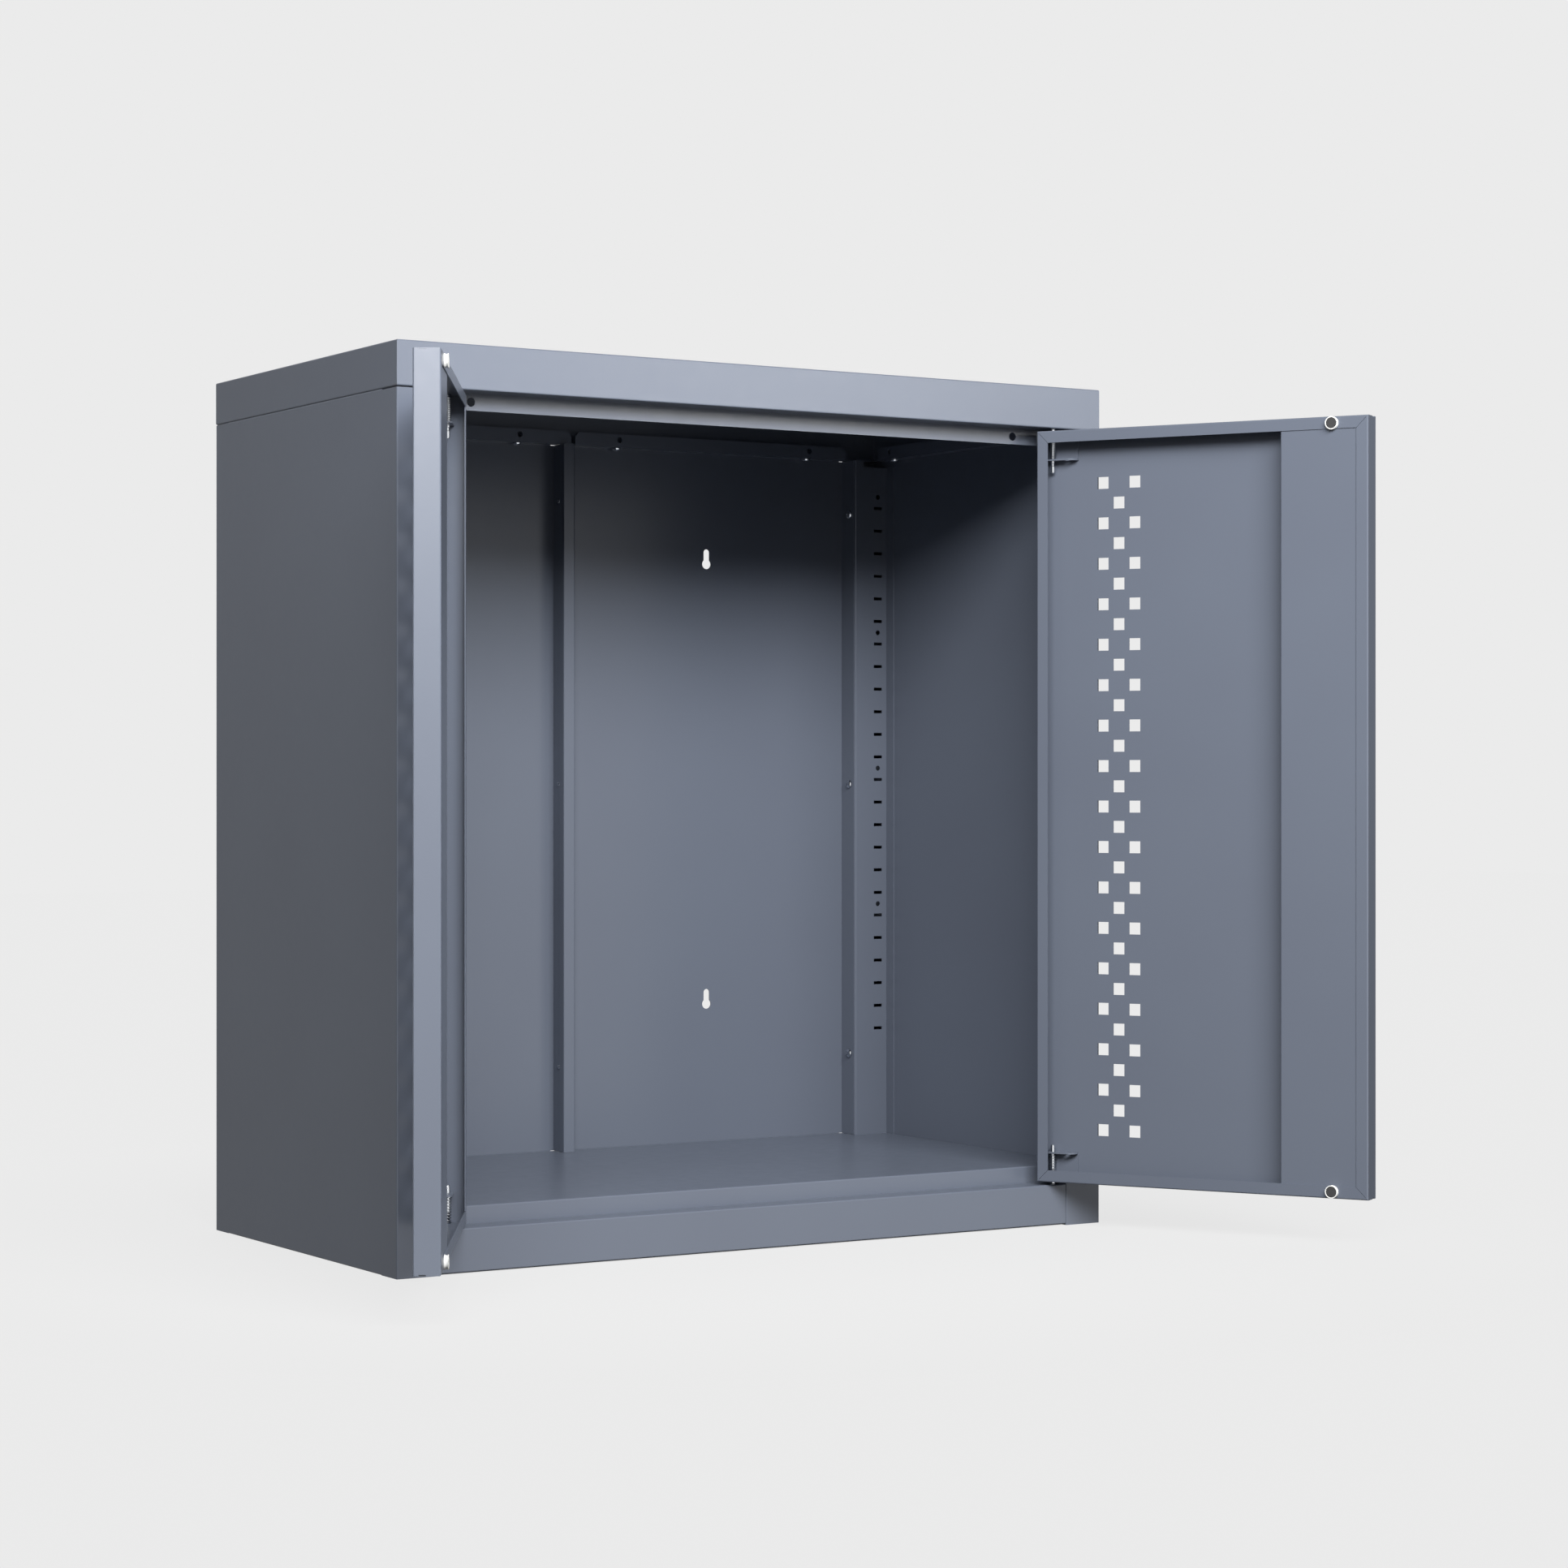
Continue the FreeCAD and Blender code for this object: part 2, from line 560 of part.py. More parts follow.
def collar_place():
    """The collar's two faces, as distances inward of the door's end."""
    near = SHEET + COLLAR_GAP
    return near, near + COLLAR_THICK


def hinge_pin(end, tail):
    """A turned pin: its tip in the ledge, a collar that the spring pushes on, and a tail to pull."""
    radius, collar = PIN_DIAMETER / 2, COLLAR_DIAMETER / 2
    tip = -DOOR_END_GAP - PIN_REACH
    near, far = collar_place()
    under_tab = TAB_FROM_END + BRACKET_SHEET
    profile = [(0, tip), (radius, tip), (radius, near), (collar, near), (collar, far), (radius, far)]
    if end == "top":
        neck = under_tab + TAIL_NECK_FROM
        neck_end = neck + TAIL_NECK_LENGTH
        waist = TAIL_NECK / 2
        profile += [(radius, neck), (waist, neck), (waist, neck_end), (radius, neck_end)]
    profile += [(radius, under_tab + tail), (0, under_tab + tail)]
    axis = V(0, 0, -1) if end == "top" else V(0, 0, 1)
    return turned(profile, V(PIN_X, PIN_Y, end_z(end, 0)), axis)


def arc_from(start, along, finish):
    """The arc that leaves start in the direction along and ends at finish."""
    chord = finish - start
    aside = along - chord * (along.dot(chord) / chord.dot(chord))
    sagitta = chord.Length / 2 * math.tan(along.getAngle(chord) / 2)
    return Part.Arc(start, start + chord * 0.5 + aside.normalize() * sagitta, finish).toShape()


def coil_points(x, low, high, turns, parts):
    """Points and directions along a coil round a hinge's axis, parts of them to a turn."""
    rise = (high - low) / (turns * parts)
    step = 2 * math.pi / parts
    slope = rise / (step * SPRING_RADIUS)
    made = []
    for i in range(turns * parts + 1):
        cos, sin = math.cos(i * step), math.sin(i * step)
        point = V(x + SPRING_RADIUS * cos, PIN_Y + SPRING_RADIUS * sin, low + i * rise)
        made.append((point, V(-sin, cos, slope).normalize()))
    return made


def hinge_spring(x, end, turns):
    """One unbroken wire from the bracket's tab to the pin's collar, on pairs of arcs a quarter turn long."""
    room = SPRING_WIRE / 2 + SPRING_SEAT
    low, high = spread(end, collar_place()[1] + room, TAB_FROM_END - room)
    stations = coil_points(x, low, high, turns, 4)
    (first, first_along), (last, last_along) = stations[0], stations[-1]
    tail = first - first_along * SPRING_WIRE
    edges = [Part.LineSegment(tail, first).toShape()]
    for (p, along), (q, onward) in zip(stations, stations[1:]):
        span, both = q - p, along + onward
        a, b, c = 2 * (along.dot(onward) - 1), -2 * span.dot(both), span.dot(span)
        reach = (-b - math.sqrt(b * b - 4 * a * c)) / (2 * a)
        joint = (p + along * reach + q - onward * reach) * 0.5
        edges += [arc_from(p, along, joint), arc_from(q, onward * -1, joint)]
    edges.append(Part.LineSegment(last, last + last_along * SPRING_WIRE).toShape())
    section = stand(ring(SPRING_WIRE / 2 * math.cos(math.pi / WIRE_SIDES), WIRE_SIDES), tail, first_along)
    pipe = Part.BRepOffsetAPI.MakePipeShell(Part.Wire(Part.__sortEdges__(edges)))
    pipe.add(section)
    pipe.build()
    pipe.makeSolid()
    fine = 24
    points = [p for p, _ in coil_points(x, low, high, turns, fine)]
    near, far = fine // 2, 3 * fine // 2 + 1
    gap = min(
        (points[i] - points[j]).Length
        for i in range(len(points)) for j in range(i + near, min(i + far, len(points)))) - SPRING_WIRE
    print(f"{end} spring: {turns} turns, least gap to itself {gap:.2f} mm")
    return pipe.shape()


def build():
    """Every piece of the cabinet by name, with both doors open."""
    pieces = {
        "top_cap": top_cap(), "bottom_pan": bottom_pan(),
        "left_back_panel": left_back_panel(), "right_back_panel": right_back_panel(),
    }
    for name, right in (("side_panel", right_side_panel()), ("rear_upright", right_rear_upright())):
        pieces["right_" + name] = right
        pieces["left_" + name] = mirrored(right)
    shut = {"door_shell": door_shell(), "door_stiffener": door_stiffener()}
    for end, tail in (("top", TOP_TAIL), ("bottom", BOTTOM_TAIL)):
        shut[end + "_hinge_bracket"] = hinge_bracket(end)
        shut[end + "_magnet_housing"] = magnet_housing(end)
        shut[end + "_magnet"] = magnet(end)
        shut[end + "_hinge_pin"] = hinge_pin(end, tail)
    for name, piece in shut.items():
        piece.rotate(V(PIN_X, PIN_Y, 0), V(0, 0, 1), OPEN_ANGLE)
        pieces["right_" + name] = piece
        pieces["left_" + name] = mirrored(piece)
    for side, x in (("left", -PIN_X), ("right", PIN_X)):
        for end, turns in (("top", TOP_TURNS), ("bottom", BOTTOM_TURNS)):
            pieces[f"{side}_{end}_hinge_spring"] = hinge_spring(x, end, turns)
    return pieces


os.makedirs("parts", exist_ok=True)
for node, shape in build().items():
    shape.exportStep(f"parts/{node}.step")
    print(f"{node}: {len(shape.Solids)} solids, {shape.Volume / 1000:.2f} cm3, valid {shape.isValid()}")
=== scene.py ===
# %% [markdown]
# # A garage cabinet of folded sheet steel
#
# The cabinet stands open. Two pan-shaped doors swing on sprung pins, and magnets on the doors close
# against lips in the body. The solid model gives every panel, fold and hole its size and place. This
# lesson adds what the solid model leaves out or keeps coarse: the paint, the bright metal, the screws,
# the fine springs, the roundness of small turned pieces, and the light.

import json
import math

import bmesh
import bpy
from mathutils import Matrix, Vector


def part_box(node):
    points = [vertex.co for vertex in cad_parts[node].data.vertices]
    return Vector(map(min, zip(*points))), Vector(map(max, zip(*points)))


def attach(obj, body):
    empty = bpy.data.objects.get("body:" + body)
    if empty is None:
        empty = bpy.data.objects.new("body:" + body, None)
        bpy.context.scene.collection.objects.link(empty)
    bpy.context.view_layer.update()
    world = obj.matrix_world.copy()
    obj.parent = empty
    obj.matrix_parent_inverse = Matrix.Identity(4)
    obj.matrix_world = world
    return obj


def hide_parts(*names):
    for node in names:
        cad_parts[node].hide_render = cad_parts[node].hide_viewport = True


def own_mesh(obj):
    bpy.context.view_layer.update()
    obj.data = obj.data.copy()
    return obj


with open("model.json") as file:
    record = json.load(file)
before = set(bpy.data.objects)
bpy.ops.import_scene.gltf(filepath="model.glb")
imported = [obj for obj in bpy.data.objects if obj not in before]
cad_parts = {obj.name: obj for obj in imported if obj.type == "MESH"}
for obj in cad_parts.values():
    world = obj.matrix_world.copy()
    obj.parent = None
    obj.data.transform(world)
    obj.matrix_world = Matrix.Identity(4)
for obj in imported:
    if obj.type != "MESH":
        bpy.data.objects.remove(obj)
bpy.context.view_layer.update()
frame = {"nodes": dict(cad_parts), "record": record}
nodes = frame["nodes"]

# %% [markdown]
# ## Small helpers
#
# Lengths below are written in millimetres, as on a drawing, and turned to Blender's metres in one place.
# Colours are written as the hex values that a paint picker shows. The shader works in linear light, so
# one function does that sum. Materials and Geometry Nodes are both node trees, and one function adds a
# node to either, with its settings and its inputs.

# %% Units, colours and nodes
MM = 0.001


def linear(hex_colour):
    """An sRGB hex value as the linear red, green, blue and alpha that a shader takes."""
    parts = [int(hex_colour[i : i + 2], 16) / 255 for i in (1, 3, 5)]
    return [c / 12.92 if c <= 0.04045 else ((c + 0.055) / 1.055) ** 2.4 for c in parts] + [1.0]


def add(tree, kind, settings=None, inputs=None):
    """Adds a node. An input's value is either a plain value or another node's output."""
    node = tree.nodes.new(kind)
    for name, value in (settings or {}).items():
        setattr(node, name, value)
    for key, value in (inputs or {}).items():
        if isinstance(value, bpy.types.NodeSocket):
            tree.links.new(value, node.inputs[key])
        else:
            node.inputs[key].default_value = value
    return node


def features(size_mm):
    """A noise texture's scale for features of about that size, as Object coordinates are in metres."""
    return 1 / (size_mm * MM)


print("a mid grey in linear light:", round(linear("#808080")[0], 3))

# %% [markdown]
# ## Finishes
#
# The body and doors are cold-rolled steel with a baked powder coat. The powder melts and flows in the
# oven but never quite levels, which leaves a satin skin with a faint ripple, called orange peel. That
# ripple is about a millimetre across on such a coat, too fine to show from three metres, so it is drawn
# a little coarser. The colour drifts very slightly over a panel, where the coat is thicker. A picture of
# painted steel could show this too, but every panel would have to be unwrapped for it. Noise in the
# pieces' own coordinates needs no picture and runs over each fold without a seam.

# %% Powder coat
COAT_THIN, COAT_THICK = "#656B78", "#69707D"
SATIN_LOW, SATIN_HIGH = 0.28, 0.33
DRIFT, GRAIN, PEEL = 160, 9, 3
PEEL_DEPTH, PEEL_STRENGTH = 0.1, 0.1
NOISE_RANGE = {"From Min": 0.15, "From Max": 0.85}  # where nearly all of a noise's values lie


def new_material(name):
    """An empty material and its node tree."""
    material = bpy.data.materials.new(name)
    material.use_nodes = True
    material.node_tree.nodes.clear()
    return material, material.node_tree


def powder_coat():
    """Satin powder coat: soft, wide highlights and a slight ripple in what it reflects."""
    material, tree = new_material("satin_powder_coat")
    place = add(tree, "ShaderNodeTexCoord").outputs["Object"]
    drift = add(tree, "ShaderNodeTexNoise", inputs={"Vector": place, "Scale": features(DRIFT), "Detail": 2})
    grain = add(tree, "ShaderNodeTexNoise", inputs={"Vector": place, "Scale": features(GRAIN), "Detail": 2})
    peel = add(tree, "ShaderNodeTexNoise", inputs={"Vector": place, "Scale": features(PEEL), "Detail": 0})
    tint = add(tree, "ShaderNodeMapRange", inputs={"Value": drift.outputs[0], **NOISE_RANGE})
    colour = add(
        tree,
        "ShaderNodeMix",
        {"data_type": "RGBA"},
        {"Factor": tint.outputs[0], "A": linear(COAT_THIN), "B": linear(COAT_THICK)},
    )
    satin = add(
        tree,
        "ShaderNodeMapRange",
        inputs={"Value": grain.outputs[0], **NOISE_RANGE, "To Min": SATIN_LOW, "To Max": SATIN_HIGH},
    )
    bump = add(
        tree,
        "ShaderNodeBump",
        inputs={
            "Height": peel.outputs[0],
            "Strength": PEEL_STRENGTH,
            "Distance": PEEL_DEPTH * MM,
            "Filter Width": 1.0,
        },
    )
    shader = add(
        tree,
        "ShaderNodeBsdfPrincipled",
        inputs={
            "Base Color": colour.outputs["Result"],
            "Roughness": satin.outputs[0],
            "IOR": 1.5,
            "Normal": bump.outputs[0],
        },
    )
    add(tree, "ShaderNodeOutputMaterial", inputs={"Surface": shader.outputs[0]})
    return material


finishes = {"powder_coat": powder_coat()}
print("powder coat: ripple drawn", PEEL, "mm across")

# %% [markdown]
# The pins, springs and screws are steel with bright zinc plate. Zinc is a metal, so its colour is in its
# reflections. An even metal would pass for chrome. Barrel plating leaves tiny scuffs, so one noise varies
# both the colour and the roughness. The scuffs are drawn larger than real ones, so that they show.

# %% Zinc plate
ZINC_CLEAN, ZINC_WORN = "#D9DCE0", "#C3C7CC"
BRIGHT, SCUFFED = 0.15, 0.26
SCUFF = 1.5


def zinc_plate():
    """Bright zinc: clear reflections with small dull scuffs."""
    material, tree = new_material("bright_zinc_plate")
    place = add(tree, "ShaderNodeTexCoord").outputs["Object"]
    scuffs = add(tree, "ShaderNodeTexNoise", inputs={"Vector": place, "Scale": features(SCUFF), "Detail": 4})
    worn = add(tree, "ShaderNodeMapRange", inputs={"Value": scuffs.outputs[0], **NOISE_RANGE})
    colour = add(
        tree,
        "ShaderNodeMix",
        {"data_type": "RGBA"},
        {"Factor": worn.outputs[0], "A": linear(ZINC_CLEAN), "B": linear(ZINC_WORN)},
    )
    dull = add(
        tree,
        "ShaderNodeMapRange",
        inputs={"Value": scuffs.outputs[0], **NOISE_RANGE, "To Min": BRIGHT, "To Max": SCUFFED},
    )
    shader = add(
        tree,
        "ShaderNodeBsdfPrincipled",
        inputs={"Base Color": colour.outputs["Result"], "Metallic": 1.0, "Roughness": dull.outputs[0]},
    )
    add(tree, "ShaderNodeOutputMaterial", inputs={"Surface": shader.outputs[0]})
    return material


finishes["zinc"] = zinc_plate()
print("zinc plate: scuffs of", SCUFF, "mm")

# %% [markdown]
# The magnet housings are moulded acetal, a white slippery plastic with a fine moulded texture. The
# magnets are pressed ferrite, a dark ceramic with a dull, slightly grainy face. Each could be built by
# itself, but both are solids with a fine grain, so one function makes the two. Real grain is much finer
# than a millimetre, so it is drawn coarse enough to show.

# %% Acetal and ferrite
GRAIN_STRENGTH, DULLNESS_SWING = 0.3, 0.05


def fine_grained(name, light, dark, grain_mm, roughness, bump_mm):
    """A dull solid with a fine grain in its colour and its surface."""
    material, tree = new_material(name)
    place = add(tree, "ShaderNodeTexCoord").outputs["Object"]
    scale = features(grain_mm)
    grain = add(tree, "ShaderNodeTexNoise", inputs={"Vector": place, "Scale": scale, "Detail": 4})
    speck = add(tree, "ShaderNodeMapRange", inputs={"Value": grain.outputs[0], **NOISE_RANGE})
    colour = add(
        tree,
        "ShaderNodeMix",
        {"data_type": "RGBA"},
        {"Factor": speck.outputs[0], "A": linear(light), "B": linear(dark)},
    )
    dull = add(
        tree,
        "ShaderNodeMapRange",
        inputs={
            "Value": grain.outputs[0],
            **NOISE_RANGE,
            "To Min": roughness - DULLNESS_SWING,
            "To Max": roughness + DULLNESS_SWING,
        },
    )
    bump = add(
        tree,
        "ShaderNodeBump",
        inputs={"Height": grain.outputs[0], "Strength": GRAIN_STRENGTH, "Distance": bump_mm * MM},
    )
    shader = add(
        tree,
        "ShaderNodeBsdfPrincipled",
        inputs={
            "Base Color": colour.outputs["Result"],
            "Roughness": dull.outputs[0],
            "Normal": bump.outputs[0],
        },
    )
    add(tree, "ShaderNodeOutputMaterial", inputs={"Surface": shader.outputs[0]})
    return material


finishes["white_plastic"] = fine_grained(
    "moulded_white_acetal", "#F6F6F3", "#EFEFEB", grain_mm=1.2, roughness=0.38, bump_mm=0.03
)
finishes["magnet_face"] = fine_grained(
    "pressed_ferrite", "#484848", "#3C3C3D", grain_mm=0.8, roughness=0.6, bump_mm=0.05
)
print("finishes:", [finish.name for finish in finishes.values()])

# %% [markdown]
# Every piece of the solid model has a record of the finish that it wears. The finishes could be set piece
# by piece, but a loop over the record can't forget one.

# %% Give each piece its finish
for part in frame["record"]["subparts"]:
    nodes[part["node"]].material_slots[0].material = finishes[part["material_slot"]]

# %% [markdown]
# ## Screws
#
# Pan-head screws with a cross recess hold the panels to the uprights, the two halves of the back to each
# other, and the cap to the folded tops. A head could be sculpted from a cylinder. Here one is turned from
# a profile, and a cross with sloping ends is cut from it, so that its sizes stay plain numbers.

# %% Turn a screw's head
HEAD_RADIUS, HEAD_HEIGHT, HEAD_STEPS = 3.9, 2.8, 32
HEAD_RIM = 0.15  # the upright rim's share of the height, below the dome
SAME_POINT = 1e-7


def turned_mesh(name, profile, steps):
    """A mesh turned round Z from (radius, height) points in millimetres, which start and end on the axis."""
    work = bmesh.new()
    points = [work.verts.new((r * MM, 0, z * MM)) for r, z in profile]
    edges = [work.edges.new(pair) for pair in zip(points, points[1:])]
    bmesh.ops.spin(
        work,
        geom=points + edges,
        cent=(0, 0, 0),
        axis=(0, 0, 1),
        angle=2 * math.pi,
        steps=steps,
        use_merge=True,
    )
    bmesh.ops.remove_doubles(work, verts=work.verts, dist=SAME_POINT)
    bmesh.ops.recalc_face_normals(work, faces=work.faces)
    mesh = bpy.data.meshes.new(name)
    work.to_mesh(mesh)
    work.free()
    return mesh


def piece(name, mesh):
    """An object in the scene with this mesh, at the origin."""
    made = bpy.data.objects.new(name, mesh)
    bpy.context.scene.collection.objects.link(made)
    return made


angles = [math.radians(degrees) for degrees in range(0, 91, 10)]
rises = [HEAD_RIM + (1 - HEAD_RIM) * math.cos(angle) for angle in angles]
dome = [(HEAD_RADIUS * math.sin(angle), HEAD_HEIGHT * rise) for angle, rise in zip(angles, rises)]
blank = piece("head", turned_mesh("head", dome + [(HEAD_RADIUS, 0), (0, 0)], HEAD_STEPS))
print("faces on the turned head:", len(blank.data.polygons))

# %% Cut the cross
RECESS_DEPTH, CUT_PAST = 1.7, 1
RECESS_FLOOR, RECESS_MOUTH = (2.4, 0.7), (5.6, 1.5)  # length and width of a bar


def cross_mesh():
    """Two tapered bars that cross, for the recess of a screw head."""
    work = bmesh.new()
    for turn in (0, math.pi / 2):
        made = bmesh.ops.create_cube(work, size=1)["verts"]
        for v in made:
            deep = v.co.z < 0
            length, width = RECESS_FLOOR if deep else RECESS_MOUTH
            height = HEAD_HEIGHT - RECESS_DEPTH if deep else HEAD_HEIGHT + CUT_PAST
            v.co = (v.co.x * length * MM, v.co.y * width * MM, height * MM)
        bmesh.ops.rotate(work, verts=made, cent=(0, 0, 0), matrix=Matrix.Rotation(turn, 3, "Z"))
    mesh = bpy.data.meshes.new("recess")
    work.to_mesh(mesh)
    work.free()
    return mesh


recess = piece("recess", cross_mesh())
cut = blank.modifiers.new("recess", "BOOLEAN")
cut.operation, cut.object, cut.solver = "DIFFERENCE", recess, "EXACT"
cut.use_self = True
bpy.context.view_layer.update()
head_mesh = bpy.data.meshes.new_from_object(blank.evaluated_get(bpy.context.evaluated_depsgraph_get()))
bpy.data.objects.remove(recess)
bpy.data.objects.remove(blank)
screw = piece("screw_head", head_mesh)
print("faces on one screw head:", len(screw.data.polygons))

# %% [markdown]
# The seats are worked out from the panels' own boxes, so the screws follow the panels, which typed places
# wouldn't. Rows of three stand at the same heights, 250 mm apart. Along the seam of the back the
# photograph shows only bright dots, so those are the same head at half size. Under the folded tops the
# screws face down.

# %% Where the screws go
LEVELS = (124, 374, 624)
SHEET, LIP, FOLD = 0.8, 11, 13  # thickness of the panels, height and width of the folded tops
FLANGE_SCREW, SEAM_SCREW = 14, 11.6  # from the outer face of the back
FULL_SIZE, SEAM_SIZE = 1, 0.5
BACK_SCREWS, SIDE_SCREWS = (-250, -50, 50, 250), (-130, 130)
DOWN = (0, 0, -1)
back_low, back_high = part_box("right_back_panel")
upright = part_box("right_rear_upright")[0]
side_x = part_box("right_side_panel")[1].x
flange_x = upright.x - SHEET * MM
flange_y = back_high.y - FLANGE_SCREW * MM
seam_x = back_low.x + SHEET * MM
seam_y = back_high.y - SEAM_SCREW * MM
fold_z = back_high.z - (LIP + SHEET) * MM
fold_y = back_high.y - (FOLD + SHEET) / 2 * MM
fold_x = side_x - (FOLD + SHEET) / 2 * MM
seats = []
for z in LEVELS:
    for x in (-flange_x, flange_x):
        seats.append(((x, flange_y, z * MM), (-math.copysign(1, x), 0, 0), FULL_SIZE))
    seats.append(((seam_x, seam_y, z * MM), (-1, 0, 0), SEAM_SIZE))
seats += [((x * MM, fold_y, fold_z), DOWN, FULL_SIZE) for x in BACK_SCREWS]
seats += [((x, y * MM, fold_z), DOWN, FULL_SIZE) for x in (-fold_x, fold_x) for y in SIDE_SCREWS]
print("screws:", len(seats), "flange at", round(flange_x / MM, 1), "folds at", round(fold_z / MM, 1))

# %% [markdown]
# Geometry Nodes suit what repeats. A tree sets a copy of the head on each seat, turned to face out of its
# sheet, with a chance twist, because nobody lines up screw heads. The twist has a fixed seed, so it is the
# same each time. Heads copied in a loop would look alike, but the tree keeps the seats and the head apart.

# %% Begin the tree for the screws
def new_tree(name, inputs):
    """A Geometry Nodes tree with named inputs. Returns the tree and its input node."""
    tree = bpy.data.node_groups.new(name, "GeometryNodeTree")
    tree.interface.new_socket("Geometry", in_out="INPUT", socket_type="NodeSocketGeometry")
    for label, kind in inputs.items():
        tree.interface.new_socket(label, in_out="INPUT", socket_type=kind)
    tree.interface.new_socket("Geometry", in_out="OUTPUT", socket_type="NodeSocketGeometry")
    print("node tree", name, "takes", ", ".join(inputs))
    return tree, add(tree, "NodeGroupInput")


tree, start = new_tree(
    "screws_on_points",
    {"Screw": "NodeSocketObject", "Twist Seed": "NodeSocketInt", "Finish": "NodeSocketMaterial"},
)

# %% A head on each seat
head = add(tree, "GeometryNodeObjectInfo", inputs={"Object": start.outputs["Screw"]})
facing = add(tree, "GeometryNodeInputNamedAttribute", {"data_type": "FLOAT_VECTOR"}, {"Name": "facing"})
aim = add(tree, "FunctionNodeAlignRotationToVector", {"axis": "Z"}, {"Vector": facing.outputs[0]})
twist = add(
    tree,
    "FunctionNodeRandomValue",
    {"data_type": "FLOAT_VECTOR"},
    {"Min": (0, 0, 0), "Max": (0, 0, math.pi / 2), "Seed": start.outputs["Twist Seed"]},
)
spin = add(tree, "FunctionNodeEulerToRotation", inputs={"Euler": twist.outputs[0]})
turn = add(
    tree,
    "FunctionNodeRotateRotation",
    {"rotation_space": "LOCAL"},
    {"Rotation": aim.outputs[0], "Rotate By": spin.outputs[0]},
)
size = add(tree, "GeometryNodeInputNamedAttribute", {"data_type": "FLOAT"}, {"Name": "size"})
heads = add(
    tree,
    "GeometryNodeInstanceOnPoints",
    inputs={
        "Points": start.outputs["Geometry"],
        "Instance": head.outputs["Geometry"],
        "Rotation": turn.outputs[0],
        "Scale": size.outputs[0],
    },
)
print("nodes so far:", len(tree.nodes))

# %% [markdown]
# The finished model can't keep live instances, so each tree ends by making its instances real and giving
# them their finish. The tree could stay on the piece as a modifier, but a plain mesh is what goes into the
# finished model, so the result is copied to one.

# %% Set the screws
TWIST_SEED = 7


def end_tree(tree, start, geometry):
    """Ends a tree: real geometry, with the finish that the tree is given."""
    real = add(tree, "GeometryNodeRealizeInstances", inputs={"Geometry": geometry})
    painted = add(
        tree,
        "GeometryNodeSetMaterial",
        inputs={"Geometry": real.outputs[0], "Material": start.outputs["Finish"]},
    )
    smooth = add(tree, "GeometryNodeSetShadeSmooth", inputs={"Geometry": painted.outputs[0]})
    add(tree, "NodeGroupOutput", inputs={"Geometry": smooth.outputs[0]})


def grown(name, mesh, tree, values):
    """Runs a tree on a mesh with these input values and returns the result as a plain piece."""
    seed = piece(name + "_seed", mesh)
    modifier = seed.modifiers.new("nodes", "NODES")
    modifier.node_group = tree
    for item in tree.interface.items_tree:
        if item.in_out == "INPUT" and item.name in values:
            modifier[item.identifier] = values[item.name]
    bpy.context.view_layer.update()
    seen = seed.evaluated_get(bpy.context.evaluated_depsgraph_get())
    made = piece(name, bpy.data.meshes.new_from_object(seen))
    bpy.data.objects.remove(seed)
    return made


end_tree(tree, start, heads.outputs[0])
points = bpy.data.meshes.new("screw_points")
points.from_pydata([place for place, _, _ in seats], [], [])
points.attributes.new("facing", "FLOAT_VECTOR", "POINT")
points.attributes.new("size", "FLOAT", "POINT")
for seat, (_, facing_out, scale) in enumerate(seats):
    points.attributes["facing"].data[seat].vector = facing_out
    points.attributes["size"].data[seat].value = scale
screws = grown(
    "panel_screws",
    points,
    tree,
    {"Screw": screw, "Twist Seed": TWIST_SEED, "Finish": finishes["zinc"]},
)
bpy.data.objects.remove(screw)
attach(screws, "cabinet")
print("screw triangles:", sum(len(p.vertices) - 2 for p in screws.data.polygons))

# %% [markdown]
# ## Hinge springs
#
# Each pin is pushed out by a coil spring of thin round wire between the pin's collar and the bracket's
# tab. The solid model has coarse coils there, to keep its mesh small. A Screw modifier could wind finer
# ones, but a spiral curve in Geometry Nodes, given a round section, keeps the turns, the length and the
# wire as inputs of one tree. The top springs have close coils and the bottom ones are more open.

# %% Tree for the springs
COIL_STEPS, WIRE_SIDES = 24, 8
tree, start = new_tree(
    "coil_spring",
    {
        "Turns": "NodeSocketFloat",
        "Coil Radius": "NodeSocketFloat",
        "Length": "NodeSocketFloat",
        "Wire Radius": "NodeSocketFloat",
        "Base": "NodeSocketVector",
        "Finish": "NodeSocketMaterial",
    },
)
coil = add(
    tree,
    "GeometryNodeCurveSpiral",
    inputs={
        "Resolution": COIL_STEPS,
        "Rotations": start.outputs["Turns"],
        "Start Radius": start.outputs["Coil Radius"],
        "End Radius": start.outputs["Coil Radius"],
        "Height": start.outputs["Length"],
    },
)
section = add(
    tree,
    "GeometryNodeCurvePrimitiveCircle",
    inputs={"Resolution": WIRE_SIDES, "Radius": start.outputs["Wire Radius"]},
)
wire = add(
    tree,
    "GeometryNodeCurveToMesh",
    inputs={"Curve": coil.outputs[0], "Profile Curve": section.outputs[0], "Fill Caps": True},
)
placed = add(
    tree,
    "GeometryNodeTransform",
    inputs={"Geometry": wire.outputs[0], "Translation": start.outputs["Base"]},
)
end_tree(tree, start, placed.outputs[0])
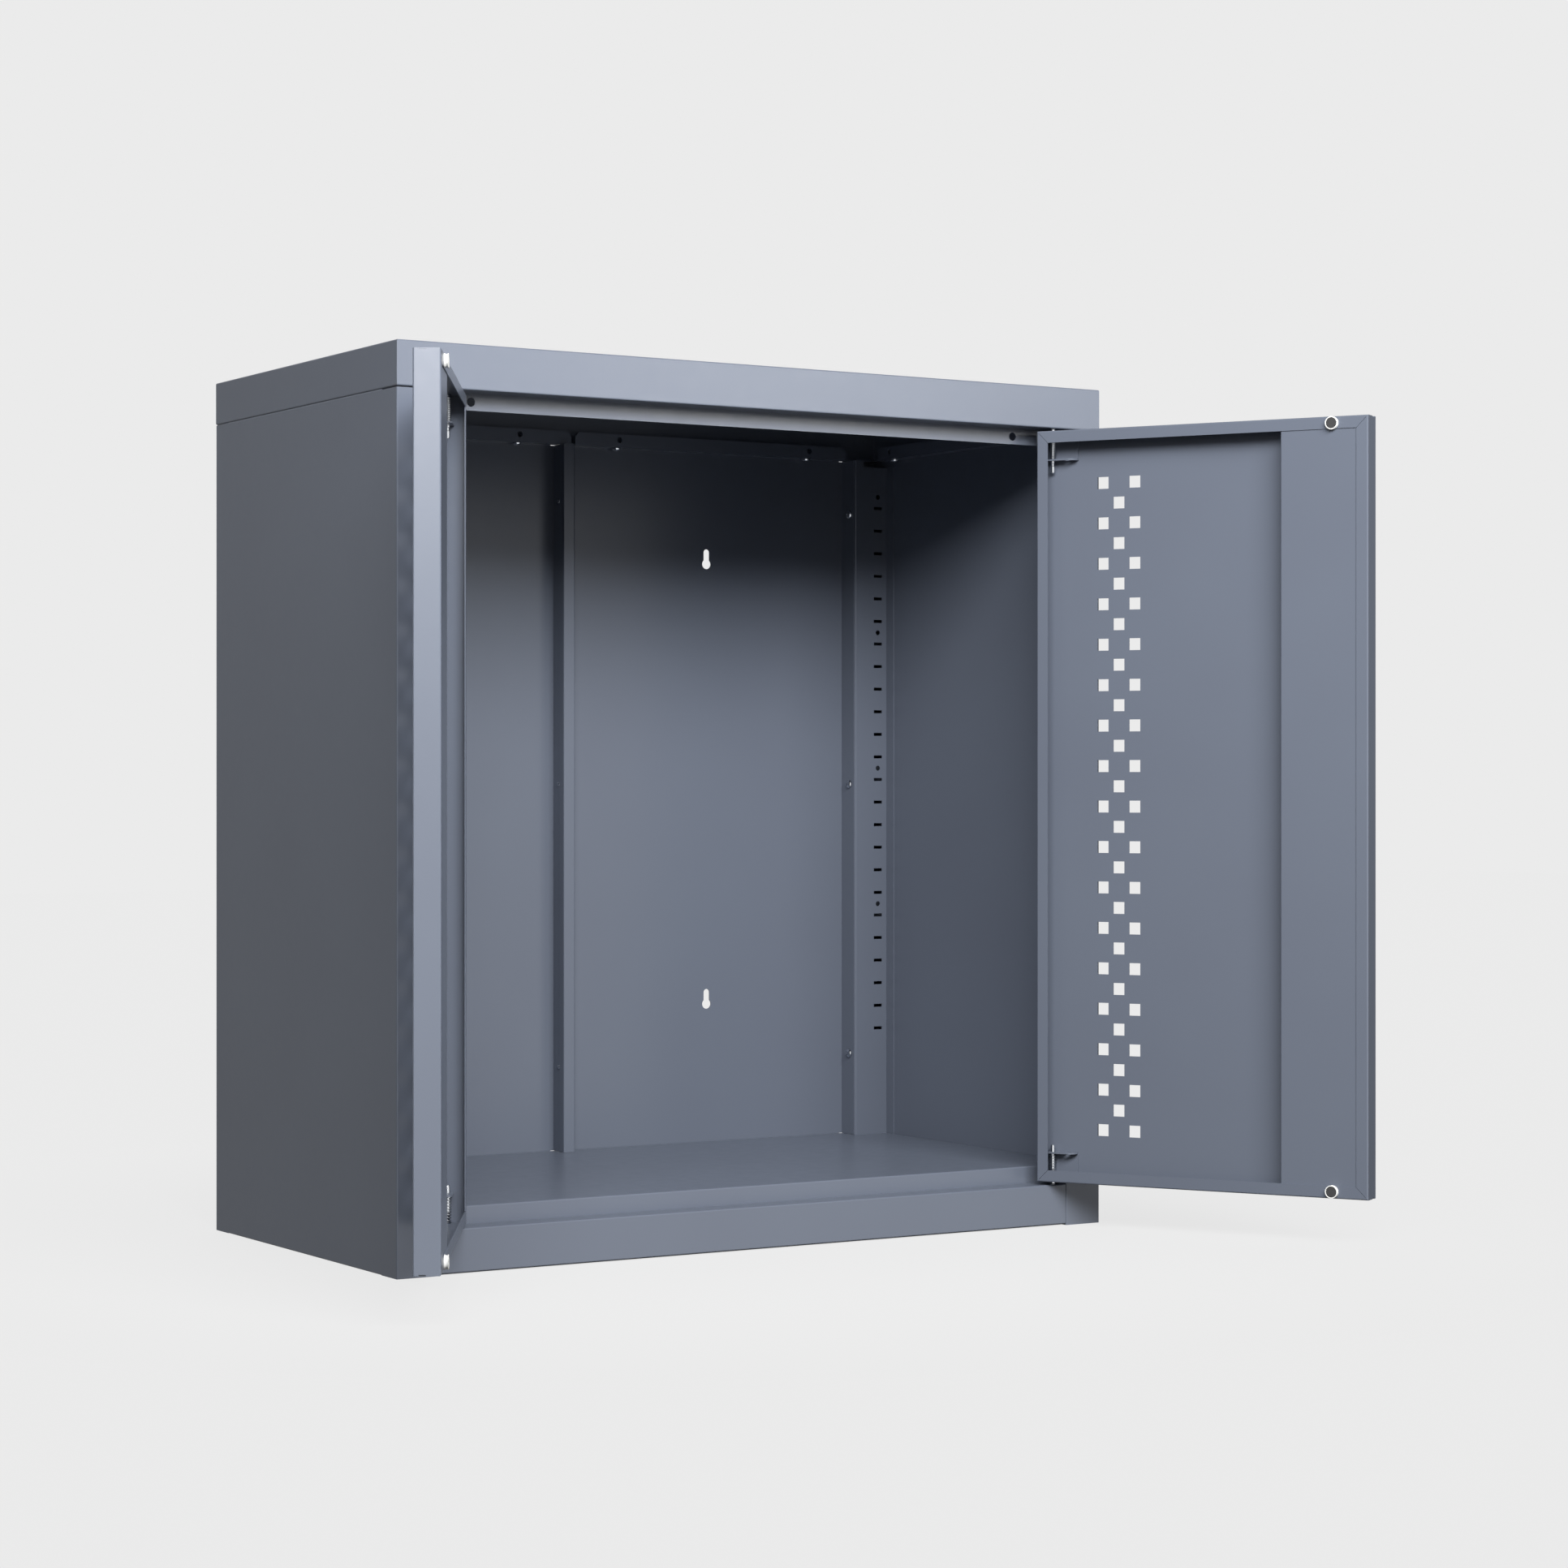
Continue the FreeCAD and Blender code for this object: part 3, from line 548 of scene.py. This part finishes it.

# %% [markdown]
# A spring fills the box of the coarse one that it replaces. It rides on the door. A stiff spring that slid
# along with the pin would cut through the tab.

# %% Wind the springs
COIL_RADIUS, PIN_TRAVEL = 2.68, 8
SPRINGS = {"top": (19, 0.4), "bottom": (9, 0.5)}  # turns and wire radius
for side in ("left", "right"):
    for end, (turns, wire_radius) in SPRINGS.items():
        low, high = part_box(f"{side}_{end}_hinge_spring")
        middle = (low + high) / 2
        length = high.z - low.z - 2 * wire_radius * MM
        spring = grown(
            f"{side}_{end}_fine_spring",
            bpy.data.meshes.new("empty"),
            tree,
            {
                "Turns": float(turns),
                "Coil Radius": COIL_RADIUS * MM,
                "Length": length,
                "Wire Radius": wire_radius * MM,
                "Base": (middle.x, middle.y, low.z + wire_radius * MM),
                "Finish": finishes["zinc"],
            },
        )
        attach(spring, f"{side}_door")
        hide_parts(f"{side}_{end}_hinge_spring")
        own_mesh(spring)
        print(spring.name, "pitch", round(length / turns / MM, 2), "mm")

# %% [markdown]
# ## Turned pieces
#
# Magnet housings, magnets and pins are round about one axis. They could be stacked up from cylinders, but
# a profile spun round the axis makes each in one closed skin. The solid model draws the small plastic
# spools and the magnets with flat sides. Here they are round, with edges a little softened as a
# moulding's are. A housing is a spool with two rims, a shallow waist and a cup at its front for the
# magnet, which stands just below the rim.

# %% Profiles of a housing and a magnet
SPOOL_RADIUS, SPOOL_REACH, WAIST, RIM, SPOOL_EDGE = 5.3, 3.3, 0.5, 0.8, 0.2
CUP_RADIUS, CUP_FLOOR = 4.45, 1.1
DISC_RADIUS, DISC_TOP, DISC_EDGE = 4.35, 3.1, 0.15


def rounded(profile, reach):
    """Cuts a profile's corners by the reach in millimetres, or less on short edges, but not its ends."""
    points = [Vector(p) for p in profile]
    out = [points[0]]
    for before, here, after in zip(points, points[1:], points[2:]):
        for other in (before, after):
            out.append(here + (other - here).normalized() * min(reach, (other - here).length / 3))
    return [tuple(p) for p in out + [points[-1]]]


spool_corners = [
    (0, 0),
    (SPOOL_RADIUS, 0),
    (SPOOL_RADIUS, RIM),
    (SPOOL_RADIUS - WAIST, RIM),
    (SPOOL_RADIUS - WAIST, SPOOL_REACH - RIM),
    (SPOOL_RADIUS, SPOOL_REACH - RIM),
    (SPOOL_RADIUS, SPOOL_REACH),
    (CUP_RADIUS, SPOOL_REACH),
    (CUP_RADIUS, CUP_FLOOR),
    (0, CUP_FLOOR),
]
disc_corners = [(0, CUP_FLOOR), (DISC_RADIUS, CUP_FLOOR), (DISC_RADIUS, DISC_TOP), (0, DISC_TOP)]
spool = rounded(spool_corners, SPOOL_EDGE)
disc = rounded(disc_corners, DISC_EDGE)
print("points in the profiles:", len(spool), "and", len(disc))

# %% [markdown]
# The magnets tell where the housings are: a magnet's box has its middle on the spool's axis. The door's
# flange is behind it, and its inner face looks 120 degrees round from where it looks when the door is
# shut. Places could be typed in, but these follow the solid model.

# %% Seat the housings and magnets
TURN_STEPS, SHARP_ANGLE = 48, 40
OPEN = math.radians(120)


def turned_piece(name, profile, base, axis, slot):
    """Turns a profile, lays its axis along the given one and gives it the slot's finish."""
    mesh = turned_mesh(name, profile, TURN_STEPS)
    mesh.transform(Matrix.Translation(base) @ Vector(axis).to_track_quat("Z", "Y").to_matrix().to_4x4())
    mesh.materials.append(finishes[slot])
    mesh.shade_smooth()
    mesh.set_sharp_from_angle(angle=math.radians(SHARP_ANGLE))
    made = piece(name, mesh)
    return made


for side, hand in (("left", -1), ("right", 1)):
    axis = Vector((-hand * math.sin(OPEN), math.cos(OPEN), 0))
    for end in ("top", "bottom"):
        low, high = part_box(f"{side}_{end}_magnet")
        seat = (low + high) / 2 - axis * (CUP_FLOOR + DISC_TOP) / 2 * MM
        for kind, profile, slot in (
            ("magnet_housing", spool, "white_plastic"),
            ("magnet", disc, "magnet_face"),
        ):
            made = turned_piece(f"{side}_{end}_round_{kind}", profile, seat, axis, slot)
            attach(made, f"{side}_door")
            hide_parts(f"{side}_{end}_{kind}")
        print(side, end, "magnet seat at", [round(c / MM, 1) for c in seat])

# %% [markdown]
# The pins run through the tabs and ledges. Each has a collar that the spring pushes on. A top pin is
# pulled down by its tail, which has a neck for a fingernail and a rounded end, and a bottom pin has a
# plain tail. The tip is chamfered so that it finds its hole. A profile goes from the tip down, as a pin is
# turned from the bar.

# %% Hinge pins
PIN_RADIUS, COLLAR_RADIUS, NECK_RADIUS = 2.0, 3.2, 1.5
TIP_INSET, TIP_LENGTH = 0.5, 0.6
COLLAR_TOP, COLLAR_FOOT, COLLAR_EDGE = -11.1, -12.1, 0.15
# each point is a radius and a height, which is 0 at the tip
TIP = [(0, 0), (PIN_RADIUS - TIP_INSET, 0), (PIN_RADIUS, -TIP_LENGTH)]
COLLAR = [
    (PIN_RADIUS, COLLAR_TOP),
    (COLLAR_RADIUS - COLLAR_EDGE, COLLAR_TOP),
    (COLLAR_RADIUS, COLLAR_TOP - COLLAR_EDGE),
    (COLLAR_RADIUS, COLLAR_FOOT + COLLAR_EDGE),
    (COLLAR_RADIUS - COLLAR_EDGE, COLLAR_FOOT),
    (PIN_RADIUS, COLLAR_FOOT),
]
NECK = [(PIN_RADIUS, -36), (NECK_RADIUS, -36.4), (NECK_RADIUS, -38.6), (PIN_RADIUS, -39)]
ROUND_TAIL = [(0, 1.6), (0.3, 0.7), (0.9, 0.15)]  # in from the side, up from the end
PLAIN_TAIL = [(0, 1), (0.5, 0)]
for side in ("left", "right"):
    for end, up in (("top", 1), ("bottom", -1)):
        low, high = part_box(f"{side}_{end}_hinge_pin")
        middle = (low + high) / 2
        tip = high.z if end == "top" else low.z
        tail = (high.z - low.z) / MM
        neck, curve = (NECK, ROUND_TAIL) if end == "top" else ([], PLAIN_TAIL)
        tail_end = [(PIN_RADIUS - inset, rise - tail) for inset, rise in curve] + [(0, -tail)]
        made = turned_piece(
            f"{side}_{end}_bright_pin",
            TIP + COLLAR + neck + tail_end,
            (middle.x, middle.y, tip),
            (0, 0, up),
            "zinc",
        )
        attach(made, f"{side}_{end}_pin")
        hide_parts(f"{side}_{end}_hinge_pin")
        print(made.name, "length", round(tail, 1), "mm")

# %% [markdown]
# ## Floor
#
# The cabinet was photographed on pale paper so evenly lit that no horizon shows, only a faint shadow
# round the foot. A lit floor would darken with distance and meet the backdrop in a line. Here the paper
# glows with the backdrop's own colour, and only near the cabinet does it take a small share of real light,
# which is what lets the contact shadow show. Paper fibre is finer than a millimetre and is drawn coarser.
# The glow would also shine out through the notches at the foot of the back, so a second sheet without it
# lies under the cabinet, where it is as dark as a real floor.

# %% Two papers
BACKGROUND, FIBRE_SHADE = "#EBEBEB", "#EAEAEA"
FIBRE = 3
SHADOW_NEAR, SHADOW_FAR, SHADOW_SHARE = 0.3, 0.8, 0.1  # metres from the middle, and the share of real light


def background_paper():
    """Matt white paper with a trace of fibre: even, with a soft shadow that fades away from the cabinet."""
    material, tree = new_material("matt_background_paper")
    place = add(tree, "ShaderNodeTexCoord").outputs["Object"]
    fibre = add(tree, "ShaderNodeTexNoise", inputs={"Vector": place, "Scale": features(FIBRE), "Detail": 3})
    fleck = add(tree, "ShaderNodeMapRange", inputs={"Value": fibre.outputs[0], **NOISE_RANGE})
    colour = add(
        tree,
        "ShaderNodeMix",
        {"data_type": "RGBA"},
        {"Factor": fleck.outputs[0], "A": linear(BACKGROUND), "B": linear(FIBRE_SHADE)},
    ).outputs["Result"]
    glow = add(tree, "ShaderNodeEmission", inputs={"Color": colour}).outputs[0]
    matt = add(tree, "ShaderNodeBsdfDiffuse", inputs={"Color": colour}).outputs[0]
    away = add(tree, "ShaderNodeVectorMath", {"operation": "LENGTH"}, {0: place}).outputs["Value"]
    share = add(
        tree,
        "ShaderNodeMapRange",
        {"interpolation_type": "SMOOTHSTEP"},
        {"Value": away, "From Min": SHADOW_NEAR, "From Max": SHADOW_FAR, "To Min": SHADOW_SHARE, "To Max": 0},
    ).outputs[0]
    paper = add(tree, "ShaderNodeMixShader", inputs={0: share, 1: glow, 2: matt})
    add(tree, "ShaderNodeOutputMaterial", inputs={"Surface": paper.outputs[0]})
    return material


def shaded_paper():
    """The same paper with no glow of its own, so it is as dark as the shade that it lies in."""
    material, tree = new_material("matt_shaded_paper")
    matt = add(tree, "ShaderNodeBsdfDiffuse", inputs={"Color": linear(BACKGROUND)})
    add(tree, "ShaderNodeOutputMaterial", inputs={"Surface": matt.outputs[0]})
    return material


print("paper takes real light up to", SHADOW_FAR, "m from the middle")

# %% Lay the floor
FLOOR_REACH = 9
TOE_CLEAR, LIFT = 5, 0.2


def lay_paper(name, low, high, material):
    """Lays a flat sheet between two corners, out of reflections and bounced light."""
    mesh = bpy.data.meshes.new(name)
    mesh.from_pydata([low, (high[0], low[1], low[2]), high, (low[0], high[1], low[2])], [], [(0, 1, 2, 3)])
    mesh.materials.append(material)
    sheet = piece(name, mesh)
    sheet.visible_diffuse = False
    sheet.visible_glossy = False


lay_paper("paper_floor", (-FLOOR_REACH, -FLOOR_REACH, 0), (FLOOR_REACH, FLOOR_REACH, 0), background_paper())
pan_low, pan_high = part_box("bottom_pan")
lay_paper(
    "paper_under_cabinet",
    (pan_low.x, pan_low.y + TOE_CLEAR * MM, LIFT * MM),
    (pan_high.x, pan_high.y, LIFT * MM),
    shaded_paper(),
)
print("floor of", 2 * FLOOR_REACH, "m, lit near the cabinet only and dark under it")

# %% [markdown]
# ## Room
#
# A studio is dim apart from its lamps and its pale walls. The camera itself sees plain paper. Surfaces get
# a low, even light from all round. What they mirror depends on where they face: the front of the room is
# bright, the sides are dark and the rear is in between, which is why the screws shine and the outer sides
# stay deep grey. A picture of a real room would light it too, but it would have to be kept beside the
# script, and a few nodes give a plainer light.

# %% Light from the room
ROOM_LIGHT = 0.13
SHINE_FRONT, SHINE_SIDES, SHINE_REAR = 1.5, 0.02, 0.42
WALLS = [(0.1, SHINE_FRONT), (0.52, SHINE_SIDES), (0.95, SHINE_REAR)]  # from the front, 0, to the rear, 1

world = bpy.data.worlds.new("studio_room")
bpy.context.scene.world = world
world.use_nodes = True
room = world.node_tree
room.nodes.clear()

towards = add(room, "ShaderNodeTexCoord").outputs["Generated"]
depth = add(room, "ShaderNodeSeparateXYZ", inputs={0: towards}).outputs["Y"]
# from -1 at the front and 1 at the rear, to 0 and 1
rearward = add(room, "ShaderNodeMath", {"operation": "MULTIPLY_ADD"}, {0: depth, 1: 0.5, 2: 0.5}).outputs[0]
walls = add(room, "ShaderNodeValToRGB", inputs={0: rearward})
walls.color_ramp.interpolation = "EASE"
walls.color_ramp.elements.new(0.5)
for stop, (at, strength) in zip(walls.color_ramp.elements, WALLS):
    stop.position, stop.color = at, (strength, strength, strength, 1)
print("room light", ROOM_LIGHT, "mirrored walls", SHINE_FRONT, SHINE_SIDES, SHINE_REAR)

# %% Room for each kind of ray
paper_colour = linear(BACKGROUND)
dim, mirrored, backdrop = [
    add(room, "ShaderNodeBackground", inputs={"Color": paper_colour, "Strength": strength}).outputs[0]
    for strength in (ROOM_LIGHT, walls.outputs[0], 1.0)
]
ray = add(room, "ShaderNodeLightPath").outputs
lit = add(room, "ShaderNodeMixShader", inputs={0: ray["Is Glossy Ray"], 1: dim, 2: mirrored}).outputs[0]
seen = add(room, "ShaderNodeMixShader", inputs={0: ray["Is Camera Ray"], 1: lit, 2: backdrop}).outputs[0]
add(room, "ShaderNodeOutputWorld", inputs={"Surface": seen})
print("nodes in the room:", len(room.nodes))

# %% [markdown]
# ## Lamps
#
# Four soft boxes. The large key box hangs high in front, to the left. It lights the fronts, and its
# height sets how far the cap's shadow falls down the back. Two smaller boxes are what a studio would shade
# with flags, so that each reaches only what it is for: one beside the camera shows only as a sheen on the
# left door's edge, and one to the right lights only the cap. The last box stands behind and keeps the back
# from going black in other views. The key and the rear box are kept out of reflections, where their
# outlines would show. One bare lamp would be simpler, but its shadows would be hard.


# %% Soft boxes
def soft_box(name, place, target, width, height, watts):
    """A lamp with a flat, even face, turned to a target. The camera doesn't see it."""
    lamp = bpy.data.lights.new(name, "AREA")
    lamp.shape = "RECTANGLE"
    lamp.size, lamp.size_y = width, height
    lamp.energy = watts
    made = bpy.data.objects.new(name, lamp)
    made.location = place
    made.visible_camera = False
    made.rotation_euler = (Vector(target) - Vector(place)).to_track_quat("-Z", "Y").to_euler()
    bpy.context.scene.collection.objects.link(made)
    return made


key_box = soft_box(
    "key_box", place=(-0.62, -2.0, 1.58), target=(0, 0, 0.5), width=2.4, height=0.85, watts=108
)
edge_strip = soft_box(
    "edge_strip", place=(-1.8, -2.45, 1.27), target=(-0.4, -0.4, 0.6), width=0.8, height=0.6, watts=31
)
rail_strip = soft_box(
    "rail_strip", place=(1.5, -2.6, 1.15), target=(0, -0.2, 0.7), width=0.9, height=0.55, watts=11.2
)
rear_fill = soft_box(
    "rear_fill", place=(0.3, 3.0, 1.5), target=(0, 0, 0.4), width=3.6, height=1.6, watts=85
)
print("soft boxes:", [box.name for box in (key_box, edge_strip, rail_strip, rear_fill)])

# %% Flags
LEFT_DOOR = ("left_door", "left_top", "left_bottom")  # how the names of the left door's pieces start


def light_only(lamp, things):
    """Keeps a lamp's light to these things, as flags round it would."""
    lit = bpy.data.collections.new(lamp.name + "_lights")
    for thing in things:
        lit.objects.link(thing)
    lamp.light_linking.receiver_collection = lit
    print(lamp.name, "reaches", len(things), "pieces")


key_box.visible_glossy = False
rear_fill.visible_glossy = False
edge_strip.visible_diffuse = False
meshes = [thing for thing in bpy.context.scene.objects if thing.type == "MESH"]
light_only(edge_strip, [mesh for mesh in meshes if mesh.name.startswith(LEFT_DOOR)])
light_only(rail_strip, [nodes["top_cap"]])

# %% [markdown]
# ## Camera
#
# The photograph's vanishing lines give the camera: it is level, at a little over half the cabinet's
# height, three metres off and turned to show the left side. A camera set by eye could frame the cabinet
# too, but its edges wouldn't lie on the photograph's. As it is level and has no shift, verticals stay
# upright. The plain view transform keeps the paper as pale as its hex value.

# %% Place the camera
LENS, SENSOR = 81.01, 36
CAMERA_PLACE, CAMERA_AIM = (-1.4841, -2.5921, 0.374), (0.5267, 0.85, 0)
lens = bpy.data.cameras.new("camera")
lens.lens, lens.sensor_width = LENS, SENSOR
camera = bpy.data.objects.new("camera", lens)
camera.location = CAMERA_PLACE
camera.rotation_euler = Vector(CAMERA_AIM).to_track_quat("-Z", "Y").to_euler()
bpy.context.scene.collection.objects.link(camera)
bpy.context.scene.camera = camera
bpy.context.scene.view_settings.view_transform = "Standard"
bpy.context.scene.view_settings.look = "None"
print("camera", round(Vector(CAMERA_PLACE).length, 2), "m from the middle of the foot")
